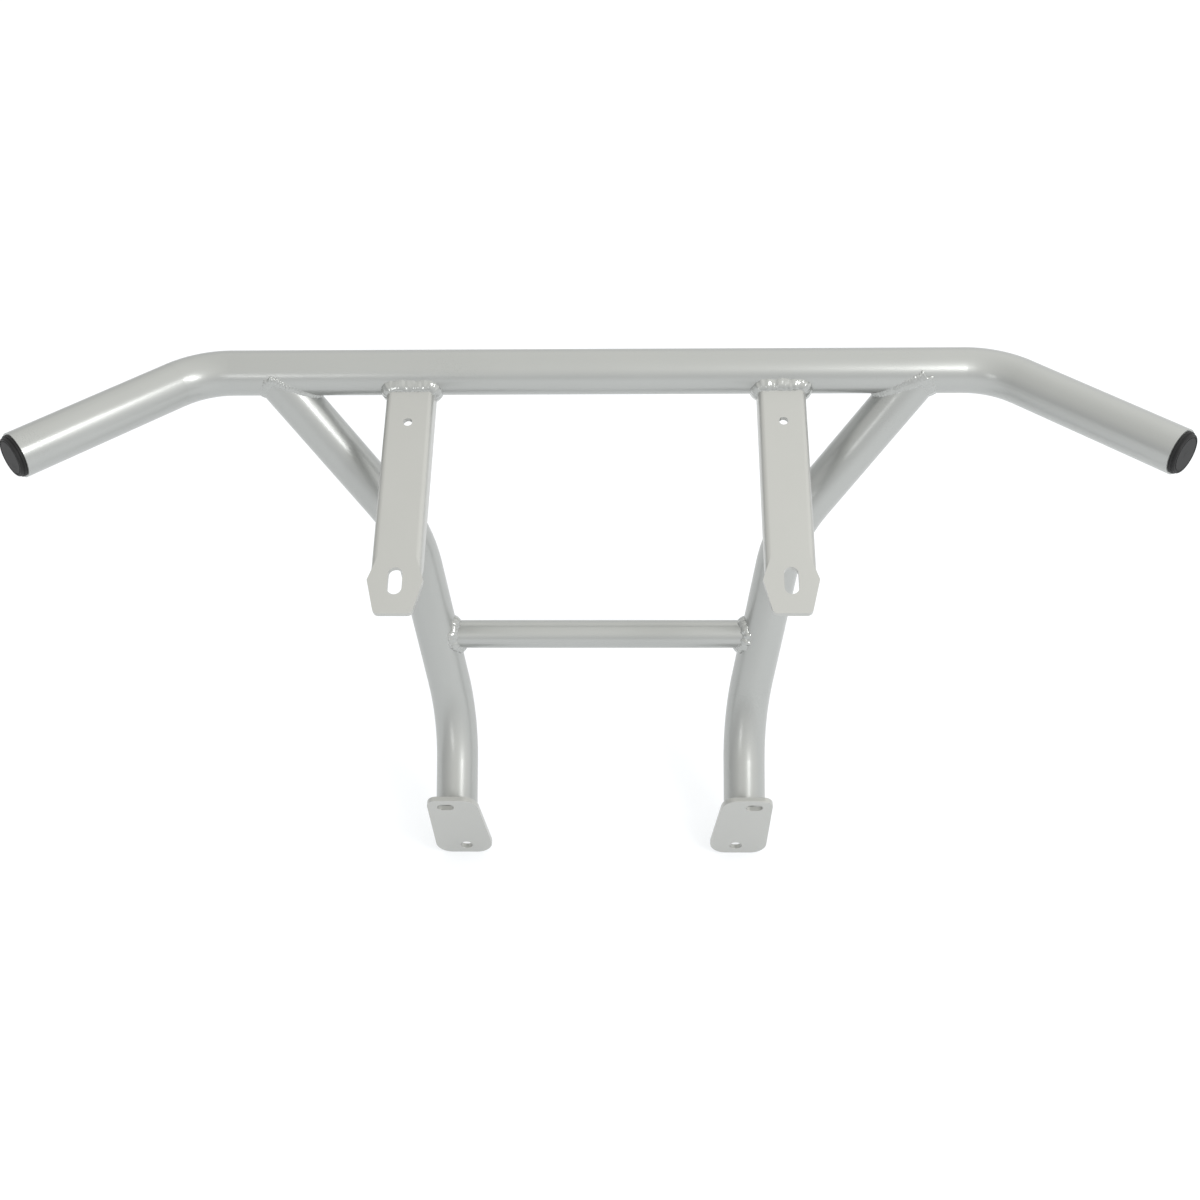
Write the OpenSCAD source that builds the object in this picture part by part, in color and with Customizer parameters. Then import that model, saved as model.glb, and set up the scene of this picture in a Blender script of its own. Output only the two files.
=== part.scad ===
// Rear bumper for a side-by-side utility vehicle, welded from bent round tube and formed plate.
// X runs across the vehicle, -Y points to the vehicle, Z is up, the feet stand on Z = 0.

/* [Main tube] */
// Outside diameter of the main tube and of both legs
tube_od = 38.1; // [32:0.1:44]
// Wall of the main tube and of both legs
tube_wall = 2.4; // [1.6:0.1:4]
// Distance from the middle to the point where the straight and the arm would cross
arm_corner_x = 334; // [320:1:420]
// Angle by which each arm sweeps towards the vehicle
arm_sweep = 45; // [25:1:60]
// Length of each arm from that crossing point to the cut end
arm_length = 173.5; // [120:0.5:260]
// Centreline radius of the two bends in the main tube
main_bend_radius = 64; // [50:1:90]
// Thickening of the tube wall in the bends, outside and inside
bend_swell = 0.05; // [0.02:0.01:0.2]

/* [Legs] */
// Distance from the middle to the leg axis where it meets the main tube
leg_top_x = 273; // [255:1:290]
// Distance from the middle to the upper bend point of the leg
knee_x = 164; // [150:1:185]
// Drop of the upper bend point, measured in the leaning plane of the legs
knee_drop = 146; // [130:1:175]
// Distance from the middle to the lower bend point of the leg
ankle_x = 133; // [120:1:145]
// Drop of the lower bend point, measured in the leaning plane of the legs
ankle_drop = 333; // [290:1:400]
// Length of the leg axis from the lower bend point to the foot plate
foot_reach = 99; // [85:1:130]
// Lean of the upper part of the legs towards the vehicle
leg_lean = 14; // [5:1:22]
// Lean of the lowest part of the legs towards the vehicle
foot_lean = 45; // [35:1:52]
// Centreline radius of the bends in the legs
leg_bend_radius = 140; // [90:1:170]

// Root gap between the shaped top end of each leg and the main tube
cope_gap = 0.2; // [0.1:0.05:0.5]

/* [Cross tube] */
// Outside diameter of the cross tube between the legs
cross_od = 25.4; // [19:0.1:30]
// Wall of the cross tube
cross_wall = 2; // [1.2:0.1:3]
// Place of the cross tube between the upper and the lower bend point of the legs
cross_fraction = 0.54; // [0.4:0.01:0.65]

/* [Strap brackets] */
// Distance from the middle to the centre line of each strap
strap_x = 155; // [130:1:180]
// Angle of the straps below the level of the arms
strap_drop = 22.4; // [10:0.1:35]
// Height of the top of the strap above the axis of the main tube, across the strap
strap_offset = 5; // [2:0.5:9]
// Reach of the strap from the axis of the main tube to its tip
strap_reach = 233; // [215:1:280]
// Outside width of the folded part of the strap
strap_width = 40; // [34:0.5:44]
// Plate thickness of the strap
strap_plate = 4.5; // [3:0.5:6]
// Depth of the folded sides of the strap at the main tube
flange_depth = 20; // [17:0.5:24]
// Depth of the folded sides of the strap at their free end
flange_end_depth = 13; // [11:0.5:16]
// Angle at which the free ends of the folded sides are cut back
flange_end_angle = 32; // [20:1:60]
// Height of the folded side left where that cut meets the tab
flange_end_web = 1.5; // [1:0.1:3]
// Gap between the end of the folded sides and the tapered end of the tab
flange_end_gap = 4; // [2:0.5:8]
// Inside radius of the folds of the strap
fold_inner = 0.6; // [0.4:0.1:3]
// Amount by which the flat tab is wider than the folded part, on each side
tab_flare = 2.2; // [1:0.1:4]
// Length over which the folds open out into the flat tab
tab_flare_length = 22; // [14:0.5:30]
// Radius of the shoulders where the tab is widest
tab_shoulder = 2; // [1:0.5:4]
// Length of the tapered end of the tab
tab_taper = 30; // [22:1:38]
// Amount by which the tip of the tab is narrower than the folded part, on each side
tab_tip_inset = 5; // [2:0.5:7]
// Corner radius at the tip of the tab
tab_corner = 5; // [2:0.5:8]
// Diameter of the round hole near the main tube
strap_hole = 7.5; // [5:0.5:10]
// Distance of the round hole from the axis of the main tube
strap_hole_reach = 54; // [45:1:80]
// Width of the slot in the tab
strap_slot_width = 11.5; // [9:0.5:14]
// Length of the slot in the tab
strap_slot_length = 24; // [18:0.5:28]
// Distance from the tip of the tab to the middle of the slot
strap_slot_inset = 29; // [25:0.5:34]

/* [Foot plates] */
// Plate thickness of the feet
foot_plate = 5; // [3:0.5:8]
// Lean of the foot plates, top edge towards the vehicle
foot_tilt = 11; // [0:1:20]
// Height of the foot plates
foot_height = 88; // [82:1:104]
// Height of the top edge of the foot plates above the leg axis
foot_top = 46; // [42:1:54]
// Distance from the leg axis to the outer edge of the foot plate at its top
foot_outer = 24; // [22:0.5:32]
// Amount by which the outer edge moves in at the bottom
foot_outer_taper = 3; // [0:0.5:6]
// Distance from the leg axis to the inner edge of the foot plate at its top
foot_inner = 21; // [19:0.5:26]
// Amount by which the inner edge moves out at the bottom
foot_inner_flare = 12; // [4:0.5:15]
// Corner radius at the top outer corner of the foot plates
foot_top_corner = 9; // [3:0.5:14]
// Corner radius at the three other corners of the foot plates
foot_corner = 15; // [6:0.5:18]
// Width of the upper slot of the foot plates
foot_slot_width = 9; // [7:0.5:11]
// Length of the upper slot of the foot plates
foot_slot_length = 15; // [12:0.5:20]
// Sideways place of the upper slot from the leg axis
foot_slot_x = 7; // [4:0.5:11]
// Distance from the top edge to the upper slot
foot_slot_inset = 11; // [9:0.5:14]
// Diameter of the lower hole of the foot plates
foot_hole = 11; // [8:0.5:13]
// Sideways place of the lower hole from the leg axis, towards the middle
foot_hole_x = 7; // [0:0.5:9]
// Distance from the lower edge to the lower hole
foot_hole_inset = 12.5; // [11:0.5:13]

/* [End caps] */
// Gap between the plug and the bore of the tube, on the radius
cap_clearance = 0.1; // [0.05:0.05:0.5]
// Width of the tube rim left bare around the cap
cap_rim_gap = 1.4; // [0.4:0.1:2]
// Width of the step between the lip and the raised disc of the cap
cap_step = 1.2; // [0.6:0.1:2.5]
// Chamfer around the raised disc
cap_chamfer = 0.8; // [0.3:0.1:1]
// Distance from the edge of the raised disc to its shallow groove
cap_groove_inset = 1.8; // [1.2:0.1:6]
// Width of the groove
cap_groove_width = 0.9; // [0.6:0.1:2]
// Depth of the groove
cap_groove_depth = 0.6; // [0.3:0.1:0.8]
// Height of the lower step of the cap head
cap_lip = 2.2; // [1:0.1:4]
// Height of the raised disc of the cap head
cap_disc = 2.8; // [1:0.1:4]
// Depth of the plug inside the tube
cap_plug_depth = 22; // [14:1:35]
// Wall of the plug
cap_wall = 2.2; // [1.6:0.1:3]
// Number of ribs around the plug
cap_ribs = 4; // [2:1:5]
// Height of each rib
cap_rib_height = 2; // [1:0.1:2.5]
// Width of each rib
cap_rib_width = 1.6; // [0.8:0.1:2]
// Distance from the lip to the first rib
cap_rib_inset = 4; // [3:0.5:6]

/* [Welds] */
// Size of the weld between each leg and the main tube
leg_weld = 3.5; // [2.5:0.5:6]
// Size of the weld between each strap and the main tube
strap_weld = 4.5; // [3:0.5:6]
// Distance from the edge of the folded sides to the end of the strap weld
strap_weld_stop = 3; // [2:0.5:8]
// Size of the weld at the ends of the cross tube
cross_weld = 4; // [2.5:0.5:5]
// Size of the weld between each leg and its foot plate
foot_weld = 4.5; // [3:0.5:6]
// Width kept free of weld around the lower hole of the foot plates
weld_relief = 1; // [0.5:0.5:3]

/* [Hidden] */
tube_r = tube_od / 2;
bore_r = tube_r - tube_wall;
cross_r = cross_od / 2;
cross_bore_r = cross_r - cross_wall;
slack = 1;
bend_lap = 0.5;
edge_round = 0.5;
cut = 200;
big = 600;

// Directions in which the legs and the straps run, seen on the right side
lean_dir = [0, -sin(leg_lean), -cos(leg_lean)];
foot_dir = [0, -sin(foot_lean), -cos(foot_lean)];

// Corner points of the axis of the right leg
leg_p0 = [leg_top_x, 0, 0];
leg_p1 = [knee_x, 0, 0] + knee_drop * lean_dir;
leg_p2 = [ankle_x, 0, 0] + ankle_drop * lean_dir;
leg_p3 = leg_p2 + foot_reach * foot_dir;
cross_p = leg_p1 + cross_fraction * (leg_p2 - leg_p1);

// Placing of the whole bumper: middle of its box over the origin, lowest edge on Z = 0
reach_y = strap_reach * cos(strap_drop) + strap_offset * sin(strap_drop);
shift_y = (reach_y - tube_r) / 2;
foot_low = foot_height - foot_top;
shift_z = -leg_p3[2] + foot_low * cos(foot_tilt) + foot_plate * sin(foot_tilt);

// Strap values along its length
slot_reach = strap_reach - strap_slot_inset;
fold_end = strap_reach - tab_taper;
fold_run = fold_end - flange_end_gap;
tab_half = strap_width / 2 + tab_flare;
tip_half = strap_width / 2 - tab_tip_inset;
fold_radius = strap_plate + fold_inner;

// Cap values
cap_lip_r = tube_r - cap_rim_gap;
cap_disc_r = cap_lip_r - cap_step;
plug_r = bore_r - cap_clearance;
plug_core_r = plug_r - cap_rib_height;

$fn = 96;

function unit(v) = v / norm(v);

// Matrix that puts +Z along a, +X along n and the origin at p
function frame_at(p, n, a) = let (y = cross(a, n)) [
    [n[0], y[0], a[0], p[0]],
    [n[1], y[1], a[1], p[1]],
    [n[2], y[2], a[2], p[2]],
    [0, 0, 0, 1]
];

// Any direction square to a, for placing round parts
function square_to(a) = unit(cross(abs(a[0]) < 0.9 ? [1, 0, 0] : [0, 1, 0], a));

module place() {
    translate([0, shift_y, shift_z]) children();
}

module mirrored(side) {
    mirror([side < 0 ? 1 : 0, 0, 0]) children();
}

module ring(outer, inner, h) {
    difference() {
        cylinder(r = outer, h = h);
        if (inner > 0) translate([0, 0, -slack]) cylinder(r = inner, h = h + 2 * slack);
    }
}

// Straight piece of tube between two points
module straight(a, b, outer, inner) {
    d = unit(b - a);
    multmatrix(frame_at(a, square_to(d), d)) ring(outer, inner, norm(b - a));
}

// Bent piece of tube at corner p, from direction a to direction b
module bend(p, a, b, radius, outer, inner) {
    turn = acos(a * b);
    n = unit(b - a * (a * b));
    start = p - a * radius * tan(turn / 2);
    multmatrix(frame_at(start, n, a))
        translate([radius, 0, 0]) rotate([90, 0, 180])
            rotate_extrude(angle = turn) translate([radius, 0]) difference() {
                circle(r = outer);
                if (inner > 0) circle(r = inner);
            }
}

// Tube along four corner points, with the two inner corners bent to one radius.
// Bending thickens the wall by bend_swell on both sides, the straight parts run bend_lap into it.
module bent_tube(pts, radius, outer, inner) {
    d = [for (i = [0 : 2]) unit(pts[i + 1] - pts[i])];
    t = [for (i = [0 : 1]) radius * tan(acos(d[i] * d[i + 1]) / 2) - bend_lap];
    straight(pts[0], pts[1] - d[0] * t[0], outer, inner);
    bend(pts[1], d[0], d[1], radius, outer + bend_swell, inner - bend_swell);
    straight(pts[1] + d[1] * t[0], pts[2] - d[1] * t[1], outer, inner);
    bend(pts[2], d[1], d[2], radius, outer + bend_swell, inner - bend_swell);
    straight(pts[2] + d[2] * t[1], pts[3], outer, inner);
}

// Outline with convex corners, each rounded to its own radius
module rounded_outline(pts, radii) {
    n = len(pts);
    corner = [for (i = [0 : n - 1]) let (
        p = pts[i],
        a = unit(pts[(i + n - 1) % n] - p),
        b = unit(pts[(i + 1) % n] - p),
        half = acos(a * b) / 2,
        run = radii[i] / tan(half)
    ) [p + a * run, p + b * run, p + unit(a + b) * radii[i] / sin(half)]];
    polygon([for (c = corner) each [c[0], c[1]]]);
    for (i = [0 : n - 1]) translate(corner[i][2]) circle(r = radii[i]);
}

// Slot along X
module slot(width, length) {
    run = length - width;
    square([run, width], center = true);
    for (s = [-1, 1]) translate([s * run / 2, 0]) circle(d = width);
}

// Arm corner points of the main tube, left end to right end
main_pts = let (
    ex = arm_corner_x + arm_length * cos(arm_sweep),
    ey = -arm_length * sin(arm_sweep)
) [[-ex, ey, 0], [-arm_corner_x, 0, 0], [arm_corner_x, 0, 0], [ex, ey, 0]];
arm_dir = [cos(arm_sweep), -sin(arm_sweep), 0];

module main_body(outer) {
    translate([-big / 2, 0, 0]) rotate([0, 90, 0]) cylinder(r = outer, h = big);
}

module main_tube() {
    color("silver") place() bent_tube(main_pts, main_bend_radius, tube_r, bore_r);
}

module leg_run(outer, inner) {
    far = leg_p3 + cut / 2 * foot_dir;
    bent_tube([leg_p0, leg_p1, leg_p2, far], leg_bend_radius, outer, inner);
}

// Space in front of the back face of the foot plate
module foot_space() {
    translate(leg_p3) rotate([foot_tilt, 0, 0]) translate([-cut, -2 * cut, -cut])
        cube([2 * cut, 2 * cut, 2 * cut]);
}

module leg_tube(side) {
    color("silver") place() mirrored(side) difference() {
        leg_run(tube_r, bore_r);
        main_body(tube_r + cope_gap);
        foot_space();
    }
}

// Solid form of the middle part of the leg, for cutting the cross tube and its weld
module leg_middle(outer) {
    straight(leg_p1, leg_p2, outer, 0);
}

module cross_run(outer, inner) {
    translate([-knee_x, cross_p[1], cross_p[2]]) rotate([0, 90, 0]) ring(outer, inner, 2 * knee_x);
}

module cross_tube() {
    color("silver") place() difference() {
        cross_run(cross_r, cross_bore_r);
        for (s = [-1, 1]) mirrored(s) {
            leg_middle(tube_r);
            translate([cross_p[0], cross_p[1] - cut, cross_p[2] - cut]) cube([cut, 2 * cut, 2 * cut]);
        }
    }
}

// Strap frame: X across, Y along the strap away from the tube, Z square to its top face
module strap_frame() {
    translate([strap_x, 0, 0]) rotate([180 + strap_drop, 0, 0]) mirror([0, 0, 1])
        translate([0, 0, strap_offset]) children();
}

module fold_profile(w, depth, r) {
    rounded_outline([[-w / 2, 0], [w / 2, 0], [w / 2, -depth], [-w / 2, -depth]],
        [r, r, edge_round, edge_round]);
}

module folded_part() {
    rotate([90, 0, 0]) mirror([0, 0, 1]) linear_extrude(fold_run) difference() {
        fold_profile(strap_width, flange_depth, fold_radius);
        translate([0, -strap_plate])
            fold_profile(strap_width - 2 * strap_plate, flange_depth, fold_inner);
    }
}

// Cuts the sides of the strap to their taper and cuts their free ends back at a slope
module flange_trim() {
    fall = atan((flange_depth - flange_end_depth) / fold_run);
    translate([-cut / 2, 0, -flange_depth]) rotate([fall, 0, 0])
        translate([0, -cut, -cut]) cube([cut, 3 * cut, cut]);
    translate([-cut / 2, fold_run, -strap_plate - flange_end_web])
        rotate([flange_end_angle - 90, 0, 0]) translate([0, 0, -cut]) cube([cut, cut, cut]);
}

module tab_outline() {
    flat = strap_width / 2 - fold_radius;
    start = fold_end - tab_flare_length;
    translate([-flat, 0]) square([2 * flat, fold_end]);
    rounded_outline([
        [-flat, start], [flat, start],
        [tab_half, fold_end], [tip_half, strap_reach], [-tip_half, strap_reach], [-tab_half, fold_end]
    ], [edge_round, edge_round, tab_shoulder, tab_corner, tab_corner, tab_shoulder]);
}

module strap_body() {
    difference() {
        union() {
            folded_part();
            translate([0, 0, -strap_plate]) linear_extrude(strap_plate) tab_outline();
        }
        flange_trim();
        translate([0, strap_hole_reach, -strap_plate - slack])
            cylinder(d = strap_hole, h = strap_plate + 2 * slack);
        translate([0, slot_reach, -strap_plate - slack]) linear_extrude(strap_plate + 2 * slack)
            rotate(90) slot(strap_slot_width, strap_slot_length);
    }
}

module strap(side) {
    color("gainsboro") place() mirrored(side) difference() {
        strap_frame() strap_body();
        main_body(tube_r);
    }
}

// Foot frame: X outwards, Y up the plate, Z from the back face to the vehicle
module foot_frame() {
    translate(leg_p3) rotate([90 + foot_tilt, 0, 0]) children();
}

module foot_outline() {
    rounded_outline([
        [-foot_inner, foot_top], [-foot_inner - foot_inner_flare, -foot_low],
        [foot_outer - foot_outer_taper, -foot_low], [foot_outer, foot_top]
    ], [foot_corner, foot_corner, foot_corner, foot_top_corner]);
}

module foot_plate_body() {
    difference() {
        linear_extrude(foot_plate) foot_outline();
        translate([foot_slot_x, foot_top - foot_slot_inset, -slack])
            linear_extrude(foot_plate + 2 * slack) slot(foot_slot_width, foot_slot_length);
        translate([-foot_hole_x, foot_hole_inset - foot_low, -slack])
            cylinder(d = foot_hole, h = foot_plate + 2 * slack);
    }
}

module foot(side) {
    color("lightgray") place() mirrored(side) foot_frame() foot_plate_body();
}

module cap_body() {
    pitch = (cap_plug_depth - cap_rib_inset) / cap_ribs;
    top = cap_lip + cap_disc;
    groove_r = cap_disc_r - cap_groove_inset;
    difference() {
        union() {
            cylinder(r = cap_lip_r, h = cap_lip);
            translate([0, 0, cap_lip]) cylinder(r = cap_disc_r, h = cap_disc - cap_chamfer);
            translate([0, 0, top - cap_chamfer])
                cylinder(r1 = cap_disc_r, r2 = cap_disc_r - cap_chamfer, h = cap_chamfer);
            translate([0, 0, -cap_plug_depth]) cylinder(r = plug_core_r, h = cap_plug_depth);
            for (i = [0 : cap_ribs - 1])
                translate([0, 0, -cap_rib_inset - i * pitch]) cylinder(r = plug_r, h = cap_rib_width);
        }
        translate([0, 0, -cap_plug_depth - slack])
            cylinder(r = plug_core_r - cap_wall, h = cap_plug_depth + slack);
        translate([0, 0, top - cap_groove_depth]) ring(groove_r, groove_r - cap_groove_width, slack);
    }
}

module end_cap(side) {
    color("dimgray") place() mirrored(side)
        multmatrix(frame_at(main_pts[3], [0, 0, 1], arm_dir)) cap_body();
}

module leg_weld_bead(side) {
    color("whitesmoke") place() mirrored(side) difference() {
        intersection() {
            straight(leg_p0, leg_p1, tube_r + leg_weld, 0);
            main_body(tube_r + 0.9 * leg_weld);
        }
        straight(leg_p0, leg_p1, tube_r, 0);
        main_body(tube_r);
        translate([0, -cut, 0]) cube([big, 2 * cut, cut]);
    }
}

module strap_weld_bead(side) {
    w = strap_width / 2 + strap_weld;
    chamfer = fold_radius;
    low = strap_weld_stop - flange_depth;
    color("whitesmoke") place() mirrored(side) difference() {
        intersection() {
            strap_frame() rotate([90, 0, 0]) mirror([0, 0, 1]) linear_extrude(cut) polygon([
                [-w, low], [w, low], [w, strap_weld - chamfer], [w - chamfer, strap_weld],
                [chamfer - w, strap_weld], [-w, strap_weld - chamfer]
            ]);
            main_body(tube_r + strap_weld);
        }
        strap_frame() rotate([90, 0, 0]) mirror([0, 0, 1]) translate([0, 0, -slack]) linear_extrude(cut)
            fold_profile(strap_width, flange_depth + fold_radius, fold_radius);
        main_body(tube_r);
    }
}

module cross_weld_bead(side) {
    color("whitesmoke") place() mirrored(side) difference() {
        intersection() {
            translate([0, cross_p[1], cross_p[2]]) rotate([0, 90, 0])
                cylinder(r = cross_r + cross_weld, h = cross_p[0]);
            leg_middle(tube_r + cross_weld);
        }
        leg_middle(tube_r);
        translate([-slack, cross_p[1], cross_p[2]]) rotate([0, 90, 0])
            cylinder(r = cross_r, h = knee_x);
    }
}

module foot_weld_bead(side) {
    color("whitesmoke") place() mirrored(side) difference() {
        intersection() {
            straight(leg_p2, leg_p3 + cut / 2 * foot_dir, tube_r + foot_weld, 0);
            foot_frame() translate([-cut, -cut, -foot_weld]) cube([2 * cut, 2 * cut, foot_weld]);
        }
        straight(leg_p2, leg_p3 + cut * foot_dir, tube_r, 0);
        foot_frame() translate([-foot_hole_x, foot_hole_inset - foot_low, -cut])
            cylinder(d = foot_hole + 2 * weld_relief, h = cut + slack);
    }
}

main_tube();
leg_tube(-1);  // left_leg_tube
leg_tube(1);  // right_leg_tube
cross_tube();
strap(-1);  // left_strap
strap(1);  // right_strap
foot(-1);  // left_foot_plate
foot(1);  // right_foot_plate
end_cap(-1);  // left_end_cap
end_cap(1);  // right_end_cap
leg_weld_bead(-1);  // left_leg_weld
leg_weld_bead(1);  // right_leg_weld
strap_weld_bead(-1);  // left_strap_weld
strap_weld_bead(1);  // right_strap_weld
cross_weld_bead(-1);  // left_cross_weld
cross_weld_bead(1);  // right_cross_weld
foot_weld_bead(-1);  // left_foot_weld
foot_weld_bead(1);  // right_foot_weld
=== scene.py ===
"""Looks of a tube rear bumper for a utility vehicle.

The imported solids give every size. The script coats the tubes, rounds the edges of the plates and
plugs, lays the weld beads, and sets up the studio and the camera of the photograph.
"""

from __future__ import annotations

import logging
import math
import random
from dataclasses import dataclass
from enum import Enum
from typing import Any, Mapping, Sequence, Union

import bpy
from mathutils import Matrix, Vector

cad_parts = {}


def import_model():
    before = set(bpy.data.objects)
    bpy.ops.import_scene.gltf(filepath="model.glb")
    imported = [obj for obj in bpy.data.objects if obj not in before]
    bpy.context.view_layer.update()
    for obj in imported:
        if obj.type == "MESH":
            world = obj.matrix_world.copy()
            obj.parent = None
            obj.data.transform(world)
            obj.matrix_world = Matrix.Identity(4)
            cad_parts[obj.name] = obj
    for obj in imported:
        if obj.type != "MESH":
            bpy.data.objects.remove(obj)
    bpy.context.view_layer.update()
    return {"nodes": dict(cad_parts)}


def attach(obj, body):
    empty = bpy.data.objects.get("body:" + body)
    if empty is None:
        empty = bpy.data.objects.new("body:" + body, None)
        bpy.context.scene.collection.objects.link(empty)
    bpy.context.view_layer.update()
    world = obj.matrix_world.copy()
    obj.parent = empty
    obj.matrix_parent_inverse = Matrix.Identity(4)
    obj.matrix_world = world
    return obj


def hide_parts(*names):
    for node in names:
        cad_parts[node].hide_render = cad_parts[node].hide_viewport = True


log = logging.getLogger("bumper")
MM = 0.001
Triple = tuple[float, float, float]


class Side(Enum):
    """The two mirrored halves of the bumper; the value is the sign of X."""

    LEFT = -1
    RIGHT = 1

    @property
    def word(self) -> str:
        """Name of the side as the CAD nodes spell it."""
        return self.name.lower()


class Signal:
    """One output socket of a node tree, on which arithmetic adds Math nodes."""

    def __init__(self, desk: "NodeDesk", socket: bpy.types.NodeSocket) -> None:
        """Keeps the tree's desk and the socket."""
        self.desk = desk
        self.socket = socket

    def _math(self, operation: str, a: "Term", b: "Term") -> "Signal":
        """Adds one Math node.

        Args:
            operation: The Math node's operation.
            a: First term.
            b: Second term.

        Returns:
            The node's result.
        """
        return self.desk.add("ShaderNodeMath", {"operation": operation}, {0: a, 1: b})

    def __add__(self, other: "Term") -> "Signal":
        """Sum."""
        return self._math("ADD", self, other)

    def __radd__(self, other: "Term") -> "Signal":
        """Sum, reflected."""
        return self._math("ADD", other, self)

    def __sub__(self, other: "Term") -> "Signal":
        """Difference."""
        return self._math("SUBTRACT", self, other)

    def __rsub__(self, other: "Term") -> "Signal":
        """Difference, reflected."""
        return self._math("SUBTRACT", other, self)

    def __mul__(self, other: "Term") -> "Signal":
        """Product."""
        return self._math("MULTIPLY", self, other)

    def __rmul__(self, other: "Term") -> "Signal":
        """Product, reflected."""
        return self._math("MULTIPLY", other, self)

    def clamped(self, low: float = 0.0, high: float = 1.0) -> "Signal":
        """Keeps the value between two numbers."""
        return self._math("MINIMUM", self._math("MAXIMUM", self, low), high)


Term = Union[Signal, float, Sequence[float]]


class NodeDesk:
    """Builds the node tree of one material, or of the world."""

    def __init__(self, owner: bpy.types.Material | bpy.types.World) -> None:
        """Empties the owner's node tree and keeps it.

        Args:
            owner: The material or world.
        """
        owner.use_nodes = True
        self.owner = owner
        self.tree = owner.node_tree
        self.tree.nodes.clear()

    def add(
        self,
        kind: str,
        settings: Mapping[str, Any] | None = None,
        inputs: Mapping[Any, Term] | None = None,
        output: Any = 0,
    ) -> Signal:
        """Adds a node, sets it up and wires it.

        Args:
            kind: The node's type name.
            settings: Attributes of the node, set first.
            inputs: Values or signals for its sockets, by name or number.
            output: Name or number of the socket to hand back.

        Returns:
            That output socket as a signal.
        """
        node = self.tree.nodes.new(kind)
        for key, value in (settings or {}).items():
            setattr(node, key, value)
        for key, value in (inputs or {}).items():
            if isinstance(value, Signal):
                self.tree.links.new(value.socket, node.inputs[key])
            else:
                node.inputs[key].default_value = value
        return Signal(self, node.outputs[output])

    def blend(self, factor: Term, a: Term, b: Term) -> Signal:
        """Mixes two colours.

        Args:
            factor: Share of the second colour.
            a: First colour.
            b: Second colour.

        Returns:
            The mixed colour.
        """
        return self.add("ShaderNodeMix", {"data_type": "RGBA"}, {0: factor, 6: a, 7: b}, 2)

    def noise(self, size_mm: float, detail: float = 2.0, rough: float = 0.5) -> Signal:
        """Noise on the object's own coordinates.

        Args:
            size_mm: Width of one blotch.
            detail: Octaves.
            rough: Share of the finer octaves.

        Returns:
            A value around one half.
        """
        place = self.add("ShaderNodeTexCoord", output="Object")
        return self.add(
            "ShaderNodeTexNoise",
            {"noise_dimensions": "3D"},
            {"Vector": place, "Scale": 1.0 / (size_mm * MM), "Detail": detail, "Roughness": rough},
        )

    def bump(self, height: Term, height_mm: float, strength: float) -> Signal:
        """Turns a height into a bumped normal.

        Args:
            height: The height, as a share of the full height.
            height_mm: The full height.
            strength: Share of the bump that shows.

        Returns:
            The normal.
        """
        values = {"Strength": strength, "Distance": height_mm * MM, "Height": height}
        return self.add("ShaderNodeBump", inputs=values)

    def skin(self, values: Mapping[Any, Term]) -> Any:
        """Adds the surface shader with its values, wires it and hands the owner over."""
        return self.finish(self.add("ShaderNodeBsdfPrincipled", inputs=values))

    def finish(self, surface: Signal) -> Any:
        """Wires the shader to the output.

        Args:
            surface: The shader's signal.

        Returns:
            The finished material or world.
        """
        is_world = isinstance(self.owner, bpy.types.World)
        kind = "ShaderNodeOutputWorld" if is_world else "ShaderNodeOutputMaterial"
        out = self.tree.nodes.new(kind)
        self.tree.links.new(surface.socket, out.inputs["Surface"])
        return self.owner


def shade(colour: Triple, gain: float = 1.0) -> tuple[float, float, float, float]:
    """A colour made lighter or darker, with full alpha."""
    return (colour[0] * gain, colour[1] * gain, colour[2] * gain, 1.0)


@dataclass(frozen=True)
class PowderCoat:
    """Satin silver powder coat with an orange-peel skin and a fine metal fleck."""

    name: str
    colour: Triple = (0.412, 0.421, 0.411)
    tone_span: float = 0.04
    metal: float = 0.62
    rough: float = 0.30
    rough_span: float = 0.08
    peel_mm: float = 2.4
    peel_height_mm: float = 0.04
    peel_strength: float = 0.3
    fleck_mm: float = 0.35
    fleck_tone: float = 0.8
    fleck_height: float = 0.15
    cloud_mm: float = 90.0
    cloud_tone: float = 0.9

    def build(self) -> bpy.types.Material:
        """Builds the material.

        Returns:
            The coat, which a wide cloud and the fleck make uneven in tone and gloss.
        """
        desk = NodeDesk(bpy.data.materials.new(self.name))
        cloud = desk.noise(self.cloud_mm, detail=3.0)
        fleck = desk.noise(self.fleck_mm, detail=1.0)
        peel = desk.noise(self.peel_mm, rough=0.4)
        wide, fine = cloud - 0.5, fleck - 0.5
        tone = (wide * self.cloud_tone + fine * self.fleck_tone + 0.5).clamped()
        dark = shade(self.colour, 1.0 - self.tone_span)
        light = shade(self.colour, 1.0 + self.tone_span)
        height = peel + fleck * self.fleck_height
        return desk.skin(
            {
                "Base Color": desk.blend(tone, dark, light),
                "Metallic": self.metal,
                "Roughness": wide * self.rough_span + fine * self.rough_span + self.rough,
                "Normal": desk.bump(height, self.peel_height_mm, self.peel_strength),
            }
        )


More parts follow.
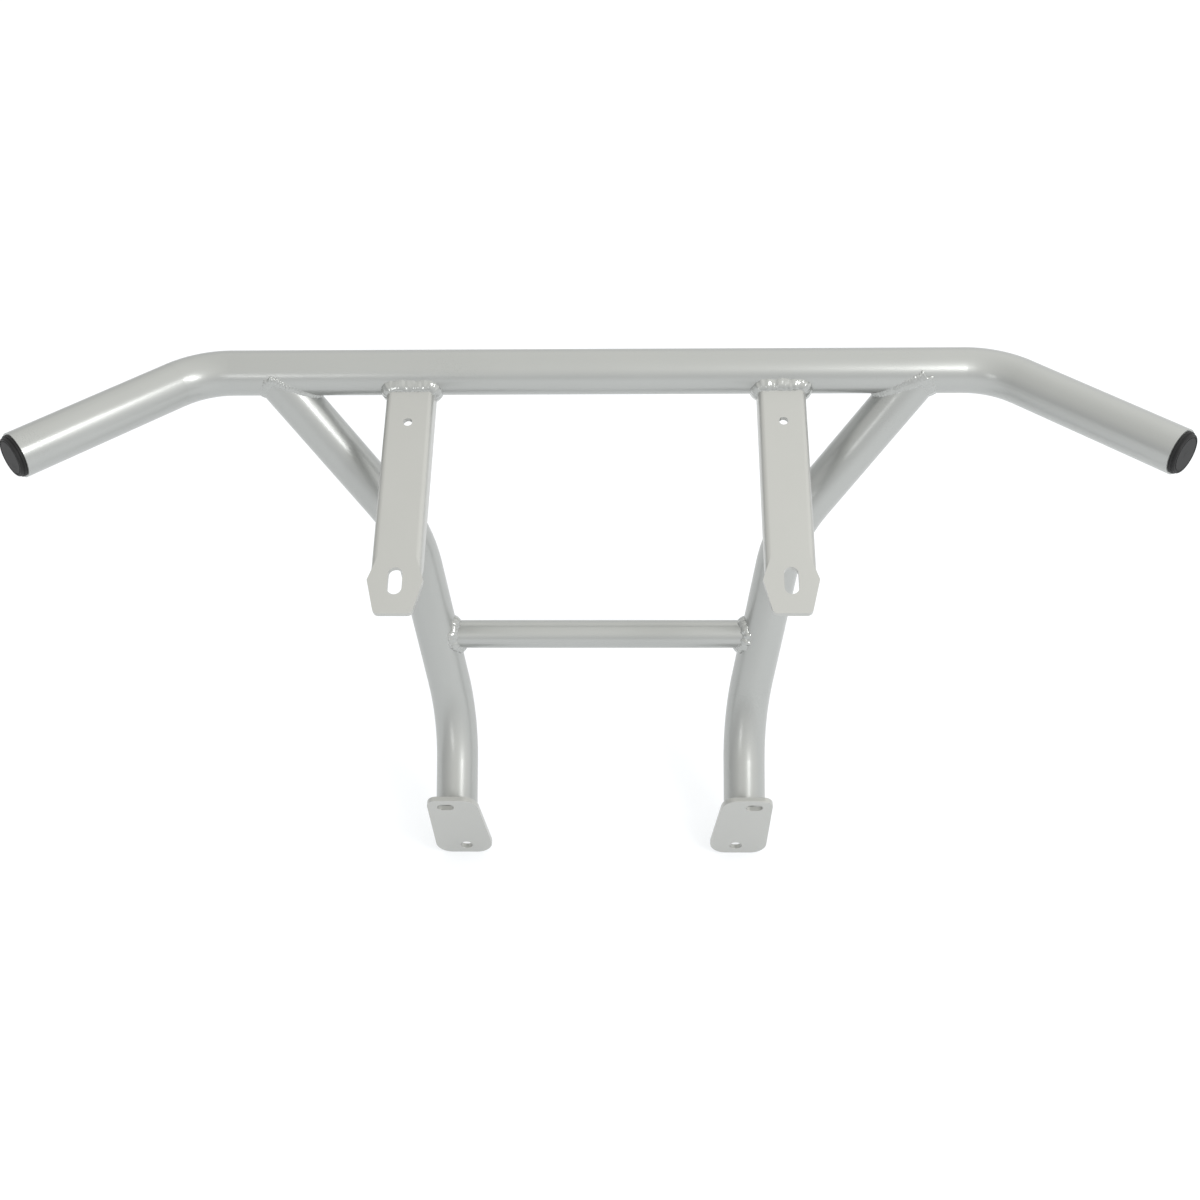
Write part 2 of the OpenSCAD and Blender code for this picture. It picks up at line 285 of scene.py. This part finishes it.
@dataclass(frozen=True)
class MouldedPlastic:
    """Black moulded plastic with a spark-eroded grain and paler scuffs."""

    name: str
    colour: Triple = (0.011, 0.011, 0.0115)
    rough: float = 0.55
    gloss: float = 0.3
    grain_mm: float = 0.5
    grain_height_mm: float = 0.05
    grain_strength: float = 0.4
    scuff_mm: float = 9.0
    scuff_start: float = 0.52
    scuff_edge: float = 4.0
    scuff_tone: float = 1.7
    scuff_rough: float = 0.1

    def build(self) -> bpy.types.Material:
        """Builds the material.

        Returns:
            The plastic, paler and duller where it is scuffed.
        """
        desk = NodeDesk(bpy.data.materials.new(self.name))
        scuff = desk.noise(self.scuff_mm, detail=4.0, rough=0.6)
        grain = desk.noise(self.grain_mm)
        worn = ((scuff - self.scuff_start) * self.scuff_edge).clamped()
        return desk.skin(
            {
                "Base Color": desk.blend(
                    worn, shade(self.colour), shade(self.colour, self.scuff_tone)
                ),
                "Roughness": worn * self.scuff_rough + self.rough,
                "Specular IOR Level": self.gloss,
                "Normal": desk.bump(grain, self.grain_height_mm, self.grain_strength),
            }
        )


@dataclass(frozen=True)
class FloorPaint:
    """Matt white studio floor, half of its light shining through from beneath."""

    name: str = "studio_floor"
    colour: Triple = (0.925, 0.94, 0.96)
    paint_share: float = 0.5
    glow: float = 0.57
    rough: float = 0.9
    mottle_mm: float = 300.0
    mottle_span: float = 0.01

    def build(self) -> bpy.types.Material:
        """Builds the material.

        Returns:
            The floor's paint, hardly mottled.
        """
        desk = NodeDesk(bpy.data.materials.new(self.name))
        dark = shade(self.colour, (1.0 - self.mottle_span) * self.paint_share)
        light = shade(self.colour, (1.0 + self.mottle_span) * self.paint_share)
        return desk.skin(
            {
                "Base Color": desk.blend(desk.noise(self.mottle_mm), dark, light),
                "Roughness": self.rough,
                "Emission Color": shade(self.colour),
                "Emission Strength": self.glow,
            }
        )


class Bench:
    """Shared mesh operations, all through the editing operators."""

    MERGE_MM = 0.005
    FLAT_DEGREES = 0.6
    SMOOTH_DEGREES = 38.0
    EDGE_SEGMENTS = 3
    FACE_WEIGHT = 100

    @staticmethod
    def clear_selection() -> None:
        """Deselects every object."""
        if bpy.context.object and bpy.context.object.mode != "OBJECT":
            bpy.ops.object.mode_set(mode="OBJECT")
        bpy.ops.object.select_all(action="DESELECT")

    @staticmethod
    def take(piece: bpy.types.Object) -> None:
        """Makes one object the only selected and active one.

        Args:
            piece: The object.
        """
        Bench.clear_selection()
        piece.select_set(True)
        bpy.context.view_layer.objects.active = piece

    @staticmethod
    def shape(piece: bpy.types.Object, kind: str, settings: Mapping[str, Any]) -> None:
        """Adds a modifier to the active piece and applies it.

        Args:
            piece: The active piece.
            kind: The modifier's type.
            settings: Its attributes, set in this order.
        """
        modifier = piece.modifiers.new(kind.lower(), kind)
        for key, value in settings.items():
            setattr(modifier, key, value)
        bpy.ops.object.modifier_apply(modifier=modifier.name)

    @staticmethod
    def copy_of(node: bpy.types.Object, name: str) -> bpy.types.Object:
        """Copies a CAD node into a new piece with a mesh of its own.

        Args:
            node: The CAD node.
            name: Name of the piece.

        Returns:
            The new piece, with its doubles merged and flat faces joined.
        """
        piece = bpy.data.objects.new(name, node.data.copy())
        piece.data.name = name
        bpy.context.scene.collection.objects.link(piece)
        Bench.take(piece)
        bpy.ops.object.mode_set(mode="EDIT")
        bpy.ops.mesh.select_all(action="SELECT")
        bpy.ops.mesh.remove_doubles(threshold=Bench.MERGE_MM * MM)
        bpy.ops.mesh.dissolve_limited(angle_limit=math.radians(Bench.FLAT_DEGREES))
        bpy.ops.mesh.select_all(action="DESELECT")
        bpy.ops.object.mode_set(mode="OBJECT")
        return piece

    @staticmethod
    def soften(piece: bpy.types.Object, width_mm: float, angle: float = 40.0) -> None:
        """Rounds the sharp edges of a piece and smooths its shading.

        Args:
            piece: The piece.
            width_mm: Width of the rounding.
            angle: Only edges sharper than this are rounded.
        """
        Bench.take(piece)
        edge = {
            "limit_method": "ANGLE",
            "angle_limit": math.radians(angle),
            "width": width_mm * MM,
            "segments": Bench.EDGE_SEGMENTS,
            "use_clamp_overlap": True,
        }
        Bench.shape(piece, "BEVEL", edge)
        bpy.ops.object.shade_smooth_by_angle(angle=math.radians(Bench.SMOOTH_DEGREES))
        even = {"keep_sharp": True, "weight": Bench.FACE_WEIGHT}
        Bench.shape(piece, "WEIGHTED_NORMAL", even)

    @staticmethod
    def dress(piece: bpy.types.Object, material: bpy.types.Material) -> None:
        """Gives a piece one material all over."""
        piece.data.materials.clear()
        piece.data.materials.append(material)


def unit(v: Vector) -> Vector:
    """A vector scaled to length one."""
    return v.normalized()


@dataclass(frozen=True)
class Layout:
    """Sizes of the solids in millimetres, and their leans and tilts in degrees.

    They are those of the right half, with the main tube's axis on Y = Z = 0.
    """

    tube_r: float = 19.05
    cross_r: float = 12.7
    leg_top_x: float = 273.0
    knee_x: float = 164.0
    knee_drop: float = 146.0
    ankle_x: float = 133.0
    ankle_drop: float = 333.0
    foot_reach: float = 99.0
    leg_lean: float = 14.0
    foot_lean: float = 45.0
    cross_fraction: float = 0.54
    strap_x: float = 155.0
    strap_tilt: float = 22.4
    strap_offset: float = 5.0
    strap_reach: float = 233.0
    strap_width: float = 40.0
    fold_radius: float = 5.1
    flange_depth: float = 20.0
    foot_tilt: float = 11.0
    foot_plate: float = 5.0
    foot_height: float = 88.0
    foot_top: float = 46.0

    @staticmethod
    def down(angle: float) -> Vector:
        """Direction that drops and leans towards the vehicle by an angle."""
        a = math.radians(angle)
        return Vector((0.0, -math.sin(a), -math.cos(a)))

    @property
    def corners(self) -> list[Vector]:
        """Corner points of the right leg's axis.

        Returns:
            The top on the main tube's axis, the knee, the ankle and the foot.
        """
        lean, foot = self.down(self.leg_lean), self.down(self.foot_lean)
        ankle = Vector((self.ankle_x, 0, 0)) + self.ankle_drop * lean
        return [
            Vector((self.leg_top_x, 0, 0)),
            Vector((self.knee_x, 0, 0)) + self.knee_drop * lean,
            ankle,
            ankle + self.foot_reach * foot,
        ]

    @property
    def cross_point(self) -> Vector:
        """Where the cross tube's axis meets the right leg's axis."""
        _, knee, ankle, _ = self.corners
        return knee + self.cross_fraction * (ankle - knee)

    @property
    def plate_normal(self) -> Vector:
        """Normal of the foot plates, towards the vehicle."""
        a = math.radians(self.foot_tilt)
        return Vector((0.0, -math.cos(a), -math.sin(a)))

    @property
    def shift(self) -> Vector:
        """Move from the main tube's axis to the row frame.

        Returns:
            The move in millimetres, which halves the depth and puts the lowest corner on zero.
        """
        a, b = math.radians(self.strap_tilt), math.radians(self.foot_tilt)
        reach = self.strap_reach * math.cos(a) + self.strap_offset * math.sin(a)
        low = (self.foot_height - self.foot_top) * math.cos(b) + self.foot_plate * math.sin(b)
        return Vector((0.0, (reach - self.tube_r) / 2.0, low - self.corners[3].z))

    def world(self, point: Vector, side: Side) -> Vector:
        """A point of the right half in the row frame.

        Args:
            point: The point in millimetres.
            side: The half it is wanted on.

        Returns:
            The point in metres.
        """
        moved = point + self.shift
        return Vector((side.value * moved.x, moved.y, moved.z)) * MM


@dataclass(frozen=True)
class BeadSize:
    """Size and evenness of one weld bead; calm is the number of smoothing rounds."""

    spread_mm: float
    crown_mm: float
    pitch_mm: float
    unrest: float
    calm: int


@dataclass
class Seam:
    """A weld run: the corner line between two surfaces, with both normals along it."""

    name: str
    node: str
    side: Side
    layout: Layout
    weld: BeadSize
    closed: bool = True
    least_open: float = 0.3
    rise_share: float = 0.7
    rise_loss: float = 0.75
    crown_share: float = 1.25
    crown_loss: float = 0.7
    ripple_depth: float = 0.8
    ripple_lean: float = 0.35
    voxel_mm: float = 0.6
    calm_share: float = 0.5

    def line(self) -> list[tuple[Vector, Vector, Vector]]:
        """Points of the corner line with the normals of the two surfaces there."""
        raise NotImplementedError

    def stations(self) -> list[tuple[Vector, Vector, Vector, float]]:
        """Steps along the line at the pitch of the ripples.

        Returns:
            Centre, direction along the seam, outward direction and openness of each ripple;
            the openness is one where both surfaces lie in one plane.
        """
        spots = []
        for point, first, second in self.line():
            out = first + second
            open_share = max(out.length / 2.0, self.least_open)
            out = unit(out)
            rise = self.weld.crown_mm * (self.rise_share - self.rise_loss * open_share)
            spots.append((point + out * rise, out, open_share))
        pairs = list(zip(spots, spots[1:] + spots[:1] if self.closed else spots[1:]))
        lengths = [(b[0] - a[0]).length for a, b in pairs]
        total = sum(lengths)
        count = max(2, round(total / self.weld.pitch_mm))
        steps, walked, at = [], 0.0, 0
        for k in range(count if self.closed else count + 1):
            goal = min(total * k / count, total - 1e-6)
            while walked + lengths[at] < goal:
                walked += lengths[at]
                at += 1
            share = (goal - walked) / max(lengths[at], 1e-9)
            (p, out, wide), (q, out2, wide2) = pairs[at]
            mid = unit(out.lerp(out2, share))
            steps.append((p.lerp(q, share), unit(q - p), mid, wide + (wide2 - wide) * share))
        return steps

    def bead(self, ripple: bpy.types.Object) -> bpy.types.Object:
        """Lays copies of one ripple along the seam and melts them into one bead.

        Args:
            ripple: The ripple, thin along its own Z.

        Returns:
            The finished bead.
        """
        weld, hand = self.weld, random.Random(self.name)
        flip = Vector((self.side.value, 1, 1))
        made = []
        for k, (centre, along, out, wide) in enumerate(self.stations()):
            copy = bpy.data.objects.new(f"{self.name}_{k}", ripple.data.copy())
            bpy.context.scene.collection.objects.link(copy)
            z_axis = unit(along * flip + self.ripple_lean * (out * flip))
            y_axis = unit((out * flip) - z_axis * z_axis.dot(out * flip))
            x_axis = y_axis.cross(z_axis)
            swell = [1.0 + hand.uniform(-weld.unrest, weld.unrest) for _ in range(3)]
            crown = weld.crown_mm * (self.crown_share - self.crown_loss * wide)
            depth = weld.crown_mm * self.ripple_depth
            form = Matrix.Diagonal(
                (weld.spread_mm * swell[0], crown * swell[1], depth * swell[2])
            )
            turn = Matrix((x_axis, y_axis, z_axis)).transposed()
            place = self.layout.world(centre, self.side)
            place += x_axis * hand.uniform(-1.0, 1.0) * weld.unrest * weld.spread_mm * MM
            copy.matrix_world = Matrix.Translation(place) @ (turn @ form * MM).to_4x4()
            made.append(copy)
        Bench.clear_selection()
        for copy in made:
            copy.select_set(True)
        bpy.context.view_layer.objects.active = made[0]
        bpy.ops.object.join()
        piece = bpy.context.view_layer.objects.active
        piece.name = piece.data.name = self.name
        bpy.ops.object.transform_apply(location=True, rotation=True, scale=True)
        melt = {"mode": "VOXEL", "voxel_size": self.voxel_mm * MM, "use_smooth_shade": True}
        Bench.shape(piece, "REMESH", melt)
        Bench.shape(piece, "SMOOTH", {"factor": self.calm_share, "iterations": weld.calm})
        bpy.ops.object.shade_smooth()
        return piece


def around(axis: Vector, turns: int = 240) -> list[Vector]:
    """Unit vectors around a direction, square to it.

    Args:
        axis: The direction.
        turns: How many vectors.

    Returns:
        The vectors, in order around the direction.
    """
    first = unit(axis.cross(Vector((1, 0, 0)) if abs(axis.x) < 0.9 else Vector((0, 1, 0))))
    second = unit(axis.cross(first))
    step = 2.0 * math.pi / turns
    return [math.cos(k * step) * first + math.sin(k * step) * second for k in range(turns)]


def root(a: float, b: float, c: float, larger: bool) -> float:
    """One root of a quadratic, its apex where it has none."""
    spread = math.sqrt(max(b * b - 4.0 * a * c, 0.0))
    return (-b + (spread if larger else -spread)) / (2.0 * a)


@dataclass
class LegSeam(Seam):
    """Bead between the top of a leg and the main tube."""

    def line(self) -> list[tuple[Vector, Vector, Vector]]:
        """Line where the leg's skin meets the main tube's skin.

        Returns:
            Points of the line with the leg's and the main tube's normals.
        """
        size = self.layout
        top, knee = size.corners[0], size.corners[1]
        along = unit(knee - top)
        out = []
        for normal in around(along):
            q = top + size.tube_r * normal
            t = root(
                along.y**2 + along.z**2,
                2.0 * (q.y * along.y + q.z * along.z),
                q.y**2 + q.z**2 - size.tube_r**2,
                True,
            )
            p = q + t * along
            out.append((p, normal, unit(Vector((0, p.y, p.z)))))
        return out


@dataclass
class CrossSeam(Seam):
    """Bead around one end of the cross tube."""

    def line(self) -> list[tuple[Vector, Vector, Vector]]:
        """Line where the cross tube's skin meets the leg's skin.

        Returns:
            Points of the line with the cross tube's and the leg's normals.
        """
        size = self.layout
        knee, ankle = size.corners[1], size.corners[2]
        axis, centre = unit(ankle - knee), size.cross_point
        out = []
        for normal in around(Vector((1, 0, 0))):
            q = Vector((0, centre.y, centre.z)) + size.cross_r * normal - knee
            flat, ex = q - axis * q.dot(axis), Vector((1, 0, 0)) - axis * axis.x
            x = root(ex.dot(ex), 2.0 * flat.dot(ex), flat.dot(flat) - size.tube_r**2, False)
            p = q + knee + Vector((x, 0, 0))
            leg = p - knee - axis * (p - knee).dot(axis)
            out.append((p, normal, unit(leg)))
        return out


@dataclass
class FootSeam(Seam):
    """Bead between the foot of a leg and its plate."""

    def line(self) -> list[tuple[Vector, Vector, Vector]]:
        """Line where the leg's skin meets the back of the plate.

        Returns:
            Points of the line with the leg's and the plate's normals.
        """
        size = self.layout
        foot, along, normal = size.corners[3], size.down(size.foot_lean), size.plate_normal
        out = []
        for skin in around(along):
            q = foot + size.tube_r * skin
            p = q + along * ((foot - q).dot(normal) / along.dot(normal))
            out.append((p, skin, -normal))
        return out


@dataclass
class StrapSeam(Seam):
    """Bead over the top of a strap and down its folded sides."""

    closed: bool = False
    stop_mm: float = 3.0
    steps: int = 12

    def line(self) -> list[tuple[Vector, Vector, Vector]]:
        """Line where the strap's folded outline meets the main tube's skin.

        Returns:
            Points of the line with the strap's and the main tube's normals.
        """
        size = self.layout
        half, r, n = size.strap_width / 2.0, size.fold_radius, self.steps
        low = self.stop_mm - size.flange_depth
        outline = [(-half, low + (-r - low) * k / n, -1.0, 0.0) for k in range(n)]
        for k in range(n + 1):
            a = math.pi - math.pi / 2.0 * k / n
            nx, nz = math.cos(a), math.sin(a)
            outline.append((r - half + r * nx, r * nz - r, nx, nz))
        outline += [(r - half + (half - r) * k / n, 0.0, 0.0, 1.0) for k in range(1, n + 1)]
        outline += [(-x, z, -nx, nz) for x, z, nx, nz in reversed(outline[:-1])]
        a = math.radians(size.strap_tilt)
        run = Vector((0, -math.cos(a), -math.sin(a)))
        rise = Vector((0, -math.sin(a), math.cos(a)))
        out = []
        for x, z, nx, nz in outline:
            high = size.strap_offset + z
            p = run * math.sqrt(max(size.tube_r**2 - high**2, 0.0)) + rise * high
            skin = unit(Vector((0, p.y, p.z)))
            edge = Vector((nx, 0, 0)) + rise * nz
            out.append((p + Vector((size.strap_x + x, 0, 0)), edge, skin))
        return out


@dataclass
class TubeFrame:
    """Main tube, both legs and the cross tube, kept as the solids are."""

    nodes: Mapping[str, bpy.types.Object]
    coat: bpy.types.Material
    names: tuple[str, ...] = ("main_tube", "left_leg_tube", "right_leg_tube", "cross_tube")

    def build(self) -> None:
        """Dresses the tubes."""
        for name in self.names:
            Bench.dress(self.nodes[name], self.coat)
            log.info("dressed %s", name)


@dataclass
class PlateWork:
    """Straps and foot plates with their cut edges rounded by the coat."""

    nodes: Mapping[str, bpy.types.Object]
    coat: bpy.types.Material
    edge_mm: float = 0.6

    def build(self) -> None:
        """Builds the four plates."""
        for side in Side:
            for kind in ("strap", "foot_plate"):
                node = f"{side.word}_{kind}"
                piece = Bench.copy_of(self.nodes[node], f"{node}_skin")
                Bench.soften(piece, self.edge_mm)
                Bench.dress(piece, self.coat)
                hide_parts(node)
                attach(piece, "root")
                log.info("built %s, %d faces", piece.name, len(piece.data.polygons))


@dataclass
class EndPlugs:
    """The plastic plugs in the two arm ends."""

    nodes: Mapping[str, bpy.types.Object]
    plastic: bpy.types.Material
    edge_mm: float = 0.35

    def build(self) -> None:
        """Builds both plugs."""
        for side in Side:
            node = f"{side.word}_end_cap"
            piece = Bench.copy_of(self.nodes[node], f"{node}_plug")
            Bench.soften(piece, self.edge_mm)
            Bench.dress(piece, self.plastic)
            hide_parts(node)
            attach(piece, "root")
            log.info("built %s, %d faces", piece.name, len(piece.data.polygons))


@dataclass
class WeldWork:
    """All the weld beads, each a row of ripples under the coat."""

    layout: Layout
    coat: bpy.types.Material
    ripple_thin: float = 0.8
    ripple_segments: int = 14
    ripple_rings: int = 8
    leg: BeadSize = BeadSize(5.0, 2.3, 2.6, 0.12, 6)
    leg_uneven: BeadSize = BeadSize(6.5, 2.9, 2.6, 0.12, 3)
    strap: BeadSize = BeadSize(7.0, 5.4, 2.3, 0.09, 12)
    strap_uneven: BeadSize = BeadSize(7.0, 5.4, 2.3, 0.15, 12)
    cross: BeadSize = BeadSize(6.0, 4.8, 3.2, 0.22, 6)
    foot: BeadSize = BeadSize(4.4, 3.2, 2.4, 0.12, 5)

    def ripple(self) -> bpy.types.Object:
        """Models the one ripple that every bead repeats.

        Returns:
            The ripple, a lens that is thin along its own Z.
        """
        Bench.clear_selection()
        bpy.ops.mesh.primitive_uv_sphere_add(
            segments=self.ripple_segments, ring_count=self.ripple_rings, radius=1.0
        )
        piece = bpy.context.object
        piece.name = "ripple"
        bpy.ops.object.mode_set(mode="EDIT")
        bpy.ops.mesh.select_all(action="SELECT")
        bpy.ops.transform.resize(value=(1.0, 1.0, self.ripple_thin))
        bpy.ops.object.mode_set(mode="OBJECT")
        return piece

    def seams(self, side: Side) -> list[Seam]:
        """The four seams of one half; the right half was welded less evenly.

        Args:
            side: The half.

        Returns:
            The seams at the leg's top, the strap, the cross tube and the foot.
        """
        uneven = side is Side.RIGHT
        kinds = (
            (LegSeam, "leg", self.leg_uneven if uneven else self.leg),
            (StrapSeam, "strap", self.strap_uneven if uneven else self.strap),
            (CrossSeam, "cross", self.cross),
            (FootSeam, "foot", self.foot),
        )
        seams = []
        for kind, word, weld in kinds:
            stem = f"{side.word}_{word}"
            seams.append(kind(f"{stem}_bead", f"{stem}_weld", side, self.layout, weld))
        return seams

    def build(self) -> None:
        """Builds every bead."""
        ripple = self.ripple()
        for side in Side:
            for seam in self.seams(side):
                piece = seam.bead(ripple)
                Bench.dress(piece, self.coat)
                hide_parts(seam.node)
                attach(piece, "root")
                log.info("built %s, %d faces", piece.name, len(piece.data.polygons))
        bpy.data.objects.remove(ripple)


@dataclass(frozen=True)
class SoftBox:
    """A square soft box: where it hangs, its side in metres and its watts."""

    name: str
    place: Triple
    side_m: float
    watts: float


@dataclass
class Studio:
    """White floor, soft lights and the camera of the photograph."""

    layout: Layout
    floor_paint: FloorPaint = FloorPaint()
    floor_side_m: float = 12.0
    zenith: float = 1.19
    horizon_share: float = 0.64
    steepness: float = 1.6
    side_lift: float = 0.2
    high_lift: float = 0.25
    darkest: float = 0.1
    brightest: float = 1.05
    cool: Triple = (0.98, 0.99, 1.0)
    warm: Triple = (1.0, 0.995, 0.965)
    aim: Triple = (0.0, 0.0, 0.3)
    boxes: tuple[SoftBox, ...] = (
        SoftBox("key_box", (1.05, -0.68, 1.72), 0.34, 4.2),
        SoftBox("leg_box", (0.74, -0.86, 1.26), 0.28, 3.4),
        SoftBox("low_box", (-0.73, -1.57, 0.92), 0.3, 1.0),
    )
    camera_mm: Triple = (38.215, -1176.572, 714.682)
    lens_mm: float = 48.54
    sensor_mm: float = 36.0
    near_m: float = 0.05
    far_m: float = 50.0
    right: Triple = (0.99966997, 0.01951919, -0.01670205)
    lower: Triple = (-0.00055561, -0.63356761, -0.77368713)
    ahead: Triple = (-0.02568362, 0.77344107, -0.63334767)

    def floor(self) -> None:
        """Lays a wide, flat floor under the bumper."""
        Bench.clear_selection()
        bpy.ops.mesh.primitive_plane_add(size=self.floor_side_m, location=(0, 0, 0))
        piece = bpy.context.object
        piece.name = "floor"
        Bench.dress(piece, self.floor_paint.build())

    def lamp(self, box: SoftBox) -> None:
        """Hangs one soft box, turned to the middle of the bumper.

        Args:
            box: The soft box.
        """
        data = bpy.data.lights.new(box.name, "AREA")
        data.shape = "SQUARE"
        data.size = box.side_m
        data.energy = box.watts
        lamp = bpy.data.objects.new(box.name, data)
        bpy.context.scene.collection.objects.link(lamp)
        place = Vector(box.place)
        lamp.location = place
        lamp.rotation_euler = (Vector(self.aim) - place).to_track_quat("-Z", "Y").to_euler()

    def camera(self) -> None:
        """Sets up the camera at the photograph's place and angle."""
        data = bpy.data.cameras.new("photo")
        data.sensor_width, data.lens = self.sensor_mm, self.lens_mm
        data.clip_start, data.clip_end = self.near_m, self.far_m
        camera = bpy.data.objects.new("photo", data)
        bpy.context.scene.collection.objects.link(camera)
        turn = Matrix((Vector(self.right), -Vector(self.lower), -Vector(self.ahead)))
        place = (Vector(self.camera_mm) + self.layout.shift) * MM
        camera.matrix_world = Matrix.Translation(place) @ turn.transposed().to_4x4()
        bpy.context.scene.camera = camera

    def sky(self) -> None:
        """Fills the room with light: warm and bright above, dimmer low down and on the left."""
        desk = NodeDesk(bpy.data.worlds.new("room"))
        way = desk.add("ShaderNodeTexCoord", output="Generated")
        x = desk.add("ShaderNodeSeparateXYZ", {}, {0: way}, 0)
        z = desk.add("ShaderNodeSeparateXYZ", {}, {0: way}, 2)
        height = (z * self.steepness).clamped()
        share = height * (1.0 - self.horizon_share) + self.horizon_share
        lift = x * (z.clamped() * self.high_lift + self.side_lift)
        light = (share + lift).clamped(self.darkest, self.brightest) * self.zenith
        tint = desk.blend(height, shade(self.cool), shade(self.warm))
        back = desk.add("ShaderNodeBackground", {}, {"Color": tint, "Strength": light})
        bpy.context.scene.world = desk.finish(back)

    def build(self) -> None:
        """Builds the whole studio."""
        self.floor()
        self.sky()
        for box in self.boxes:
            self.lamp(box)
        self.camera()
        bpy.context.scene.view_settings.view_transform = "Standard"
        log.info("studio ready")


def main() -> None:
    """Builds the bumper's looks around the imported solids."""
    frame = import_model()
    nodes = frame["nodes"]
    layout = Layout()
    tube_coat = PowderCoat("tube_coat")
    plate_coat = PowderCoat("plate_coat", colour=(0.460, 0.464, 0.447), rough=0.34, metal=0.6)
    bead_coat = PowderCoat("bead_coat", rough=0.17, peel_mm=1.8, peel_height_mm=0.2)
    TubeFrame(nodes, tube_coat.build()).build()
    PlateWork(nodes, plate_coat.build()).build()
    EndPlugs(nodes, MouldedPlastic("cap_plastic").build()).build()
    WeldWork(layout, bead_coat.build()).build()
    Studio(layout).build()


if __name__ == "__main__":
    logging.basicConfig(level=logging.INFO, format="%(name)s: %(message)s")
    main()
